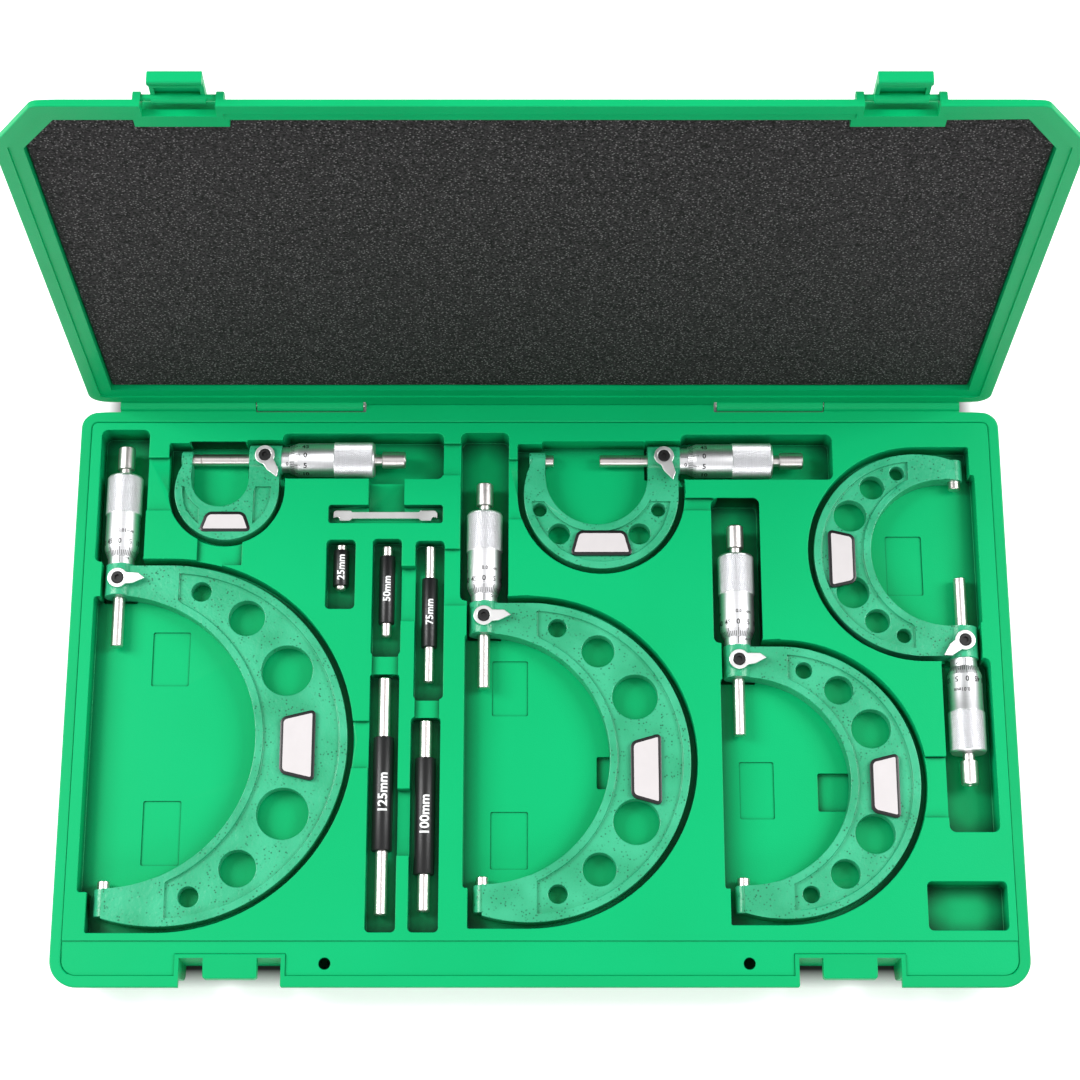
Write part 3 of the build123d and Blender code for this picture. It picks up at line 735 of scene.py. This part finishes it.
def ratchet(tool, teeth=44):
    start, end = tool.span("ratchet")
    knob = end - RATCHET_LENGTH
    bm = bmesh.new()
    root = RATCHET_R - 0.1 * MM
    spun(bm, [
        (0, start), (RATCHET_NECK, start), (RATCHET_NECK, knob), (root - 0.4 * MM, knob + 0.1 * MM),
        (root, knob + 0.6 * MM), (root, end - 0.7 * MM), (root - 0.5 * MM, end), (1.9 * MM, end),
        (1.7 * MM, end - 0.3 * MM), (0, end - 0.3 * MM),
    ], steps=48)

    def height(column, row):
        if row in (0, 3):
            return root
        return RATCHET_R if column % 2 == 0 else root

    rolled_grid(bm, 2 * teeth, 3, height, knob + 0.5 * MM, end - 0.6 * MM)
    bm.transform(tool.place)
    piece = hand_over(
        bm, f"{tool.name}_ratchet_knurled", f"{tool.name}_ratchet", "bright_chrome",
        bright_chrome[tool.way], smooth=25,
    )
    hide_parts(f"{tool.name}_ratchet")


for tool in tools:
    ratchet(tool)

# %% [markdown]
# ## Graduations and numbers
#
# A line on a thimble is a groove filled with black, one fiftieth of a turn from the
# next. Here a line is a narrow strip that lies a few hundredths of a millimetre above
# the metal, spun into fifty copies. Numbers start as text, become a mesh, are sliced so
# that they can bend, and are wrapped round the barrel.


# %% Lines round a barrel
INK = 0.03 * MM


def ring_of_lines(bm, count, width, profile, skip=1):
    """Strips on the (radius, y) profile, count to a turn, of which every skip-th is made."""
    strip = bmesh.new()
    rows = [
        [strip.verts.new((side * width / 2, y, r + INK)) for side in (-1, 1)] for r, y in profile
    ]
    for low, high in zip(rows, rows[1:]):
        strip.faces.new((low[0], low[1], high[1], high[0]))
    for turn in range(0, count, skip):
        copy = strip.copy()
        copy.transform(Matrix.Rotation(2 * pi * turn / count, 4, "Y"))
        add_to(bm, copy)
    strip.free()


def add_to(bm, other):
    """Moves the other mesh into bm."""
    mesh = bpy.data.meshes.new("part")
    other.to_mesh(mesh)
    other.free()
    bm.from_mesh(mesh)
    bpy.data.meshes.remove(mesh)


# %% Numbers as flat meshes
CAPITAL_SHARE = 0.72  # height of a capital as a share of the built-in font's size
SLICE = 0.6 * MM


def lettering(text, height, spacing=1.0):
    """A mesh of the text, centred on the origin in the XY plane."""
    curve = bpy.data.curves.new("lettering", "FONT")
    curve.body = text
    curve.size = height / CAPITAL_SHARE
    curve.space_character = spacing
    curve.offset = 0.04 * height
    curve.align_x = "CENTER"
    curve.resolution_u = 3
    holder = placed("lettering", curve)
    bpy.context.view_layer.update()
    evaluated = holder.evaluated_get(bpy.context.evaluated_depsgraph_get())
    flat = bpy.data.meshes.new_from_object(evaluated)
    bpy.data.objects.remove(holder)
    bm = bmesh.new()
    bm.from_mesh(flat)
    bpy.data.meshes.remove(flat)
    bmesh.ops.translate(bm, verts=bm.verts, vec=(0, -height / 2, 0))
    return bm


def wrapped(bm, radius, turned_up, y, angle):
    """Bends a flat mesh round the Y axis. turned_up sets its top towards +Y."""
    quarter = Matrix.Rotation(0 if turned_up else pi / 2, 4, "Z")
    bm.transform(quarter)
    wide = max(abs(v.co.x) for v in bm.verts)
    for cut in range(-int(wide / SLICE), int(wide / SLICE) + 1):
        everything = bm.verts[:] + bm.edges[:] + bm.faces[:]
        bmesh.ops.bisect_plane(bm, geom=everything, plane_co=(cut * SLICE, 0, 0), plane_no=(1, 0, 0))
    for vert in bm.verts:
        turn = vert.co.x / radius + angle
        vert.co = (radius * sin(turn), vert.co.y + y, radius * cos(turn))
    return bm


# %% [markdown]
# One turn of the thimble is half a millimetre in fifty steps, numbered every fifth. The
# sleeve under it has a line along the axis, with a step each millimetre on one side
# and the half steps on the other. At rest the gap is the smallest the tool can measure,
# so the thimble's edge stands at zero and hides the rest of the scale.

# %% Scales of a tool
LINE_WIDTH = 0.36 * MM
NUMBER_HEIGHT = 2.8 * MM
STEPS = 50
SHORT_LINE = 0.62  # how far up the cone the lines between the fives go
TICK = 0.1 * MM  # half the width of a line across the sleeve


def thimble_scale(tool):
    start, _ = tool.span("thimble")
    top = start + THIMBLE_BEVEL
    edge = (SLEEVE_R + 0.55 * MM, start + 0.1 * MM)
    cone = (THIMBLE_R - 0.08 * MM, top - 0.15 * MM)
    bm = bmesh.new()
    middle = tuple(a + SHORT_LINE * (b - a) for a, b in zip(edge, cone))
    ring_of_lines(bm, STEPS, LINE_WIDTH, (edge, middle))
    ring_of_lines(bm, STEPS, LINE_WIDTH, (middle, cone, (THIMBLE_R, top + 1.2 * MM)), skip=5)
    rows_up = tool.way == "y"
    for count in range(10):
        number = lettering(str(5 * count), NUMBER_HEIGHT)
        place_y = top + (3.2 if rows_up else 4.2) * MM
        add_to(bm, wrapped(number, THIMBLE_R + INK, rows_up, place_y, 2 * pi * count / 10))
    if rows_up:
        for side in (0, 2, 4):
            value = lettering("0.01mm", 1.9 * MM, 1.05)
            add_to(bm, wrapped(value, THIMBLE_R + INK, True, top + 9 * MM, side * pi / 3 + 0.35))
    bm.transform(tool.place)
    hand_over(bm, f"{tool.name}_thimble_scale", f"{tool.name}_thimble", "satin_chrome", black_ink)


def sleeve_scale(tool):
    boss_end = tool.span("frame")[1]
    start, _ = tool.span("thimble")
    end = tool.span("sleeve")[1] - 2 * MM
    bm = bmesh.new()
    ring_of_lines(bm, 1, LINE_WIDTH, ((SLEEVE_R, boss_end + 0.6 * MM), (SLEEVE_R, end)))
    for half in range(51):
        y = start + half * 0.5 * MM
        side = 1 if half % 2 == 0 else -1
        tip = side * (2.6 if half % 10 == 0 else 1.7) * MM
        points = ((0, y - TICK), (tip, y - TICK), (tip, y + TICK), (0, y + TICK))
        tick = bmesh.new()
        tick.faces.new([tick.verts.new((px, py, 0)) for px, py in points])
        add_to(bm, wrapped(tick, SLEEVE_R + INK, True, 0, 0))
    for five in range(6):
        number = lettering(str(5 * five), 2 * MM)
        add_to(bm, wrapped(number, SLEEVE_R + INK, False, start + five * 5 * MM - 1.3 * MM, 0.6))
    bm.transform(tool.place)
    hand_over(bm, f"{tool.name}_sleeve_scale", tool.name, "satin_chrome", black_ink)


for tool in tools:
    thimble_scale(tool)
    sleeve_scale(tool)
    print(tool.name, "scales drawn")

# %% [markdown]
# A black socket screw holds the lock lever. Its crown is the ring between a circle and
# a hexagon, so two loops are bridged; the hexagon is then drawn down to make the
# socket and the circle to make the side of the head.

# %% Lock screws
SCREW_HEAD_R = 3.15 * MM
SOCKET_R = 1.75 * MM
SOCKET_DEPTH = 1.3 * MM


def drawn_down(bm, loop, depth):
    """Pulls a wall down from a loop of edges and gives the loop at its foot."""
    wall = bmesh.ops.extrude_edge_only(bm, edges=loop)["geom"]
    foot = [item for item in wall if isinstance(item, bmesh.types.BMVert)]
    bmesh.ops.translate(bm, verts=foot, vec=(0, 0, -depth))
    sides = [item for item in wall if isinstance(item, bmesh.types.BMEdge)]
    return [edge for edge in sides if all(vert in foot for vert in edge.verts)]


def lock_screw(tool):
    low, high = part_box(f"{tool.name}_lock_lever")
    pivot = Vector(JOINTS[f"{tool.name}_lock_turn"]["pos_m"])
    top = high[2] + 0.25 * MM
    bm = bmesh.new()
    bmesh.ops.create_circle(bm, radius=SCREW_HEAD_R - 0.3 * MM, segments=36)
    crown = bm.edges[:]
    bmesh.ops.create_circle(bm, radius=SOCKET_R, segments=6)
    socket = [edge for edge in bm.edges if edge not in crown]
    bmesh.ops.bridge_loops(bm, edges=bm.edges[:])
    bottom = drawn_down(bm, socket, SOCKET_DEPTH)
    bmesh.ops.contextual_create(bm, geom=bottom)
    shoulder = drawn_down(bm, crown, 0.25 * MM)
    for vert in {v for edge in shoulder for v in edge.verts}:
        vert.co.xy *= SCREW_HEAD_R / (SCREW_HEAD_R - 0.3 * MM)
    drawn_down(bm, shoulder, top - low[2])
    bmesh.ops.translate(bm, verts=bm.verts, vec=(pivot.x, pivot.y, top))
    hand_over(bm, f"{tool.name}_lock_screw", tool.name, "bright_chrome", screw_black, smooth=30)


for tool in tools:
    lock_screw(tool)

# %% [markdown]
# ## Plates
#
# A plate is riveted over the thick middle of each bow: a black one with a white field,
# wider towards the outside of the bow. Both are left bare. The plate starts as a face
# of four corners, which are rounded, thickened and inset for the white field.

# %% Plates on the bows
FRAME_TOP = 5.5 * MM
WEB_SINK = 1.8 * MM
# in mm: from the axis to the plate's inner and outer side, its middle along Y, and half
# its length along the inner and the outer side
PLATES = {
    "micrometer_0_25": (31.2, 42.4, 14.6, 10.3, 14.3),
    "micrometer_25_50": (41.2, 55.0, 25.6, 13.0, 16.9),
    "micrometer_50_75": (55.9, 70.2, 40.3, 13.2, 16.5),
    "micrometer_75_100": (67.1, 82.2, 47.3, 13.6, 17.4),
    "micrometer_100_125": (77.4, 93.4, 55.6, 14.6, 19.2),
    "micrometer_125_150": (89.2, 107.5, 70.6, 14.8, 19.2),
}


def plate(tool):
    inner, outer, middle, short, long = (value * MM for value in PLATES[tool.name])
    bm = bmesh.new()
    outline = (
        (inner, middle - short), (outer, middle - long), (outer, middle + long), (inner, middle + short),
    )
    face = bm.faces.new([bm.verts.new((x, y, FRAME_TOP - WEB_SINK - 0.2 * MM)) for x, y in outline])
    bmesh.ops.bevel(
        bm, geom=face.verts[:], offset=3 * MM, offset_type="OFFSET", affect="VERTICES", segments=6,
        profile=0.5, material=-1,
    )
    raised = bmesh.ops.extrude_face_region(bm, geom=bm.faces[:])["geom"]
    top = next(item for item in raised if isinstance(item, bmesh.types.BMFace))
    bmesh.ops.translate(bm, verts=top.verts, vec=(0, 0, WEB_SINK + 0.45 * MM))
    bmesh.ops.inset_region(bm, faces=[top], thickness=0.25 * MM, depth=0.12 * MM)
    bmesh.ops.inset_region(bm, faces=[top], thickness=1.25 * MM)
    bmesh.ops.inset_region(bm, faces=[top], thickness=0.15 * MM, depth=0.1 * MM)
    top.material_index = 1
    bm.transform(tool.place)
    hand_over(bm, f"{tool.name}_plate", tool.name, "frame_enamel", plate_black, plate_white, smooth=30)


for tool in tools:
    plate(tool)

# %% [markdown]
# ## Setting rods
#
# Each rod is a ground bar in a black moulded grip with its length printed along it in
# white. Both are spun, as the thimbles were, and the number is wrapped round the grip.
# The grip lies on the floor of its slot, so a thicker grip has a higher axis.

# %% Rods, grips and their numbers
STANDARDS = (25, 50, 75, 100, 125)
THIN = (2.75 * MM, 4.25 * MM)
THICK = (3.3 * MM, 5.4 * MM)


def setting_rod(size):
    rod_r, grip_r = THIN if size < 100 else THICK
    rod, grip = f"standard_{size}_rod", f"standard_{size}_grip"
    low, high = (Vector(corner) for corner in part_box(grip))
    middle = (low + high) / 2
    middle.z = low.z + grip_r
    ends = [corner[1] - middle.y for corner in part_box(rod)]
    half = (high.y - low.y) / 2
    bar, sleeve = bmesh.new(), bmesh.new()
    spun(bar, [
        (0, ends[0]), (rod_r - 0.6 * MM, ends[0]), (rod_r, ends[0] + 0.6 * MM),
        (rod_r, ends[1] - 0.6 * MM), (rod_r - 0.6 * MM, ends[1]), (0, ends[1]),
    ], steps=48)
    spun(sleeve, [
        (rod_r, -half), (grip_r - 0.6 * MM, -half), (grip_r - 0.15 * MM, 0.15 * MM - half),
        (grip_r, 0.6 * MM - half), (grip_r, half - 0.6 * MM), (grip_r - 0.15 * MM, half - 0.15 * MM),
        (grip_r - 0.6 * MM, half), (rod_r, half), (rod_r, -half),
    ], steps=64)
    height = (4 if size < 100 else 5) * MM
    number = wrapped(lettering(f"{size}mm", height, 1.02), grip_r + INK, False, 0, 0)
    for bm, name, slot, material in (
        (bar, f"{rod}_ground", "ground_steel", ground_steel["y"]),
        (sleeve, f"{grip}_moulded", "grip_plastic", grip_plastic),
        (number, f"standard_{size}_number", "grip_plastic", white_ink),
    ):
        bm.transform(Matrix.Translation(middle))
        piece = hand_over(bm, name, body_of(grip), slot, material)
        if name.endswith("_ground"):
            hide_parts(rod)
        if name.endswith("_moulded"):
            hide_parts(grip)


for size in STANDARDS:
    setting_rod(size)
    print("setting rod", size)

# %% [markdown]
# The ground and turned pieces of the CAD model already have their chamfers, so they
# keep their shape and only take a finish. The lock levers are plated castings.


# %% Finishes on the CAD pieces that keep their shape
def finish_node(node, material):
    mesh = nodes[node].data
    mesh.materials.clear()
    mesh.materials.append(material)


for tool in tools:
    for part, metal in (("anvil", ground_steel), ("spindle", ground_steel), ("sleeve", satin_chrome)):
        finish_node(f"{tool.name}_{part}", metal[tool.way])
    softened(f"{tool.name}_lock_lever", "bright_chrome", 0.3 * MM, lever_chrome)
finish_node("hinge_pins", ground_steel["x"])

# %% [markdown]
# ## Floor, light and camera
#
# The case stands on a pale floor in a plain bright studio: a soft light high on each
# side, a weak one from the front, and a world that is brighter overhead. The floor shows
# almost white to the camera. Under the case the paper is dark, as it is in deep shade.


# %% Floor
SHADE = (0.02, 0.02, 0.02)
PAPER = (0.86, 0.86, 0.86)


def pale_floor():
    material, tree, shader = new_material("floor_paper", PAPER, 0.9)
    _, flow = grain(tree, object_coordinates(tree), 300, 3)
    paper = mixed(tree, flow, PAPER, (0.85, 0.85, 0.85))
    parts = tree.nodes.new("ShaderNodeSeparateXYZ")
    link(tree, object_coordinates(tree), parts.inputs["Vector"])
    beside = remap(tree, combined(tree, "ABSOLUTE", parts.outputs["X"]), 0.232, 0.246)
    before = remap(tree, parts.outputs["Y"], -0.142, -0.152)
    behind = remap(tree, parts.outputs["Y"], 0.164, 0.204)
    lit = combined(tree, "MAXIMUM", combined(tree, "MAXIMUM", before, behind), beside)
    link(tree, mixed(tree, lit, SHADE, paper), shader.inputs["Base Color"])
    glow = tree.nodes.new("ShaderNodeEmission")
    link(tree, remap(tree, lit, 0.0, 1.0, 0.0, 0.45), glow.inputs["Strength"])
    add = tree.nodes.new("ShaderNodeAddShader")
    pick = tree.nodes.new("ShaderNodeMixShader")
    rays = tree.nodes.new("ShaderNodeLightPath")
    link(tree, shader.outputs["BSDF"], add.inputs[0])
    link(tree, glow.outputs["Emission"], add.inputs[1])
    seen = combined(tree, "MAXIMUM", rays.outputs["Is Camera Ray"], rays.outputs["Is Glossy Ray"])
    link(tree, seen, pick.inputs["Fac"])
    link(tree, shader.outputs["BSDF"], pick.inputs[1])
    link(tree, add.outputs["Shader"], pick.inputs[2])
    link(tree, pick.outputs["Shader"], tree.nodes["Material Output"].inputs["Surface"])
    return material


floor_mesh = bmesh.new()
bmesh.ops.create_grid(floor_mesh, x_segments=2, y_segments=2, size=40)
mesh = bpy.data.meshes.new("floor")
floor_mesh.to_mesh(mesh)
floor_mesh.free()
mesh.materials.append(pale_floor())
placed("floor", mesh)


# %% Light
def area_light(name, place, aim, size, power):
    lamp = bpy.data.lights.new(name, "AREA")
    lamp.shape = "RECTANGLE"
    lamp.size, lamp.size_y = size
    lamp.energy = power
    holder = placed(name, lamp)
    holder.location = place
    holder.rotation_euler = (Vector(aim) - Vector(place)).to_track_quat("-Z", "Y").to_euler()


area_light("left", (-1.15, 0.3, 1.15), (0, 0, 0), (0.5, 0.9), 22)
area_light("right", (1.15, 0.25, 1.15), (0, 0, 0), (0.5, 0.9), 17)
area_light("front", (0, -1.4, 0.8), (0, 0.1, 0.15), (1.2, 0.4), 6)
world = bpy.data.worlds.new("studio")
world.use_nodes = True
tree = world.node_tree
sky = tree.nodes["Background"]
sky.inputs["Color"].default_value = (1, 1, 1, 1)
direction = tree.nodes.new("ShaderNodeTexCoord")
parts = tree.nodes.new("ShaderNodeSeparateXYZ")
link(tree, direction.outputs["Generated"], parts.inputs["Vector"])
link(tree, remap(tree, parts.outputs["Z"], 0.5, 0.95, 0.42, 0.85), sky.inputs["Strength"])
bpy.context.scene.world = world
bpy.context.scene.view_settings.view_transform = "Standard"

# %% Camera
camera = bpy.data.cameras.new("camera")
camera.lens = 85.79
camera.sensor_width = 36
camera.shift_y = -90 / 1080
eye = placed("camera", camera)
eye.location = (0, -0.321831, 1.353156)
eye.rotation_euler = (radians(90 - 71.024), 0, 0)
bpy.context.scene.camera = eye
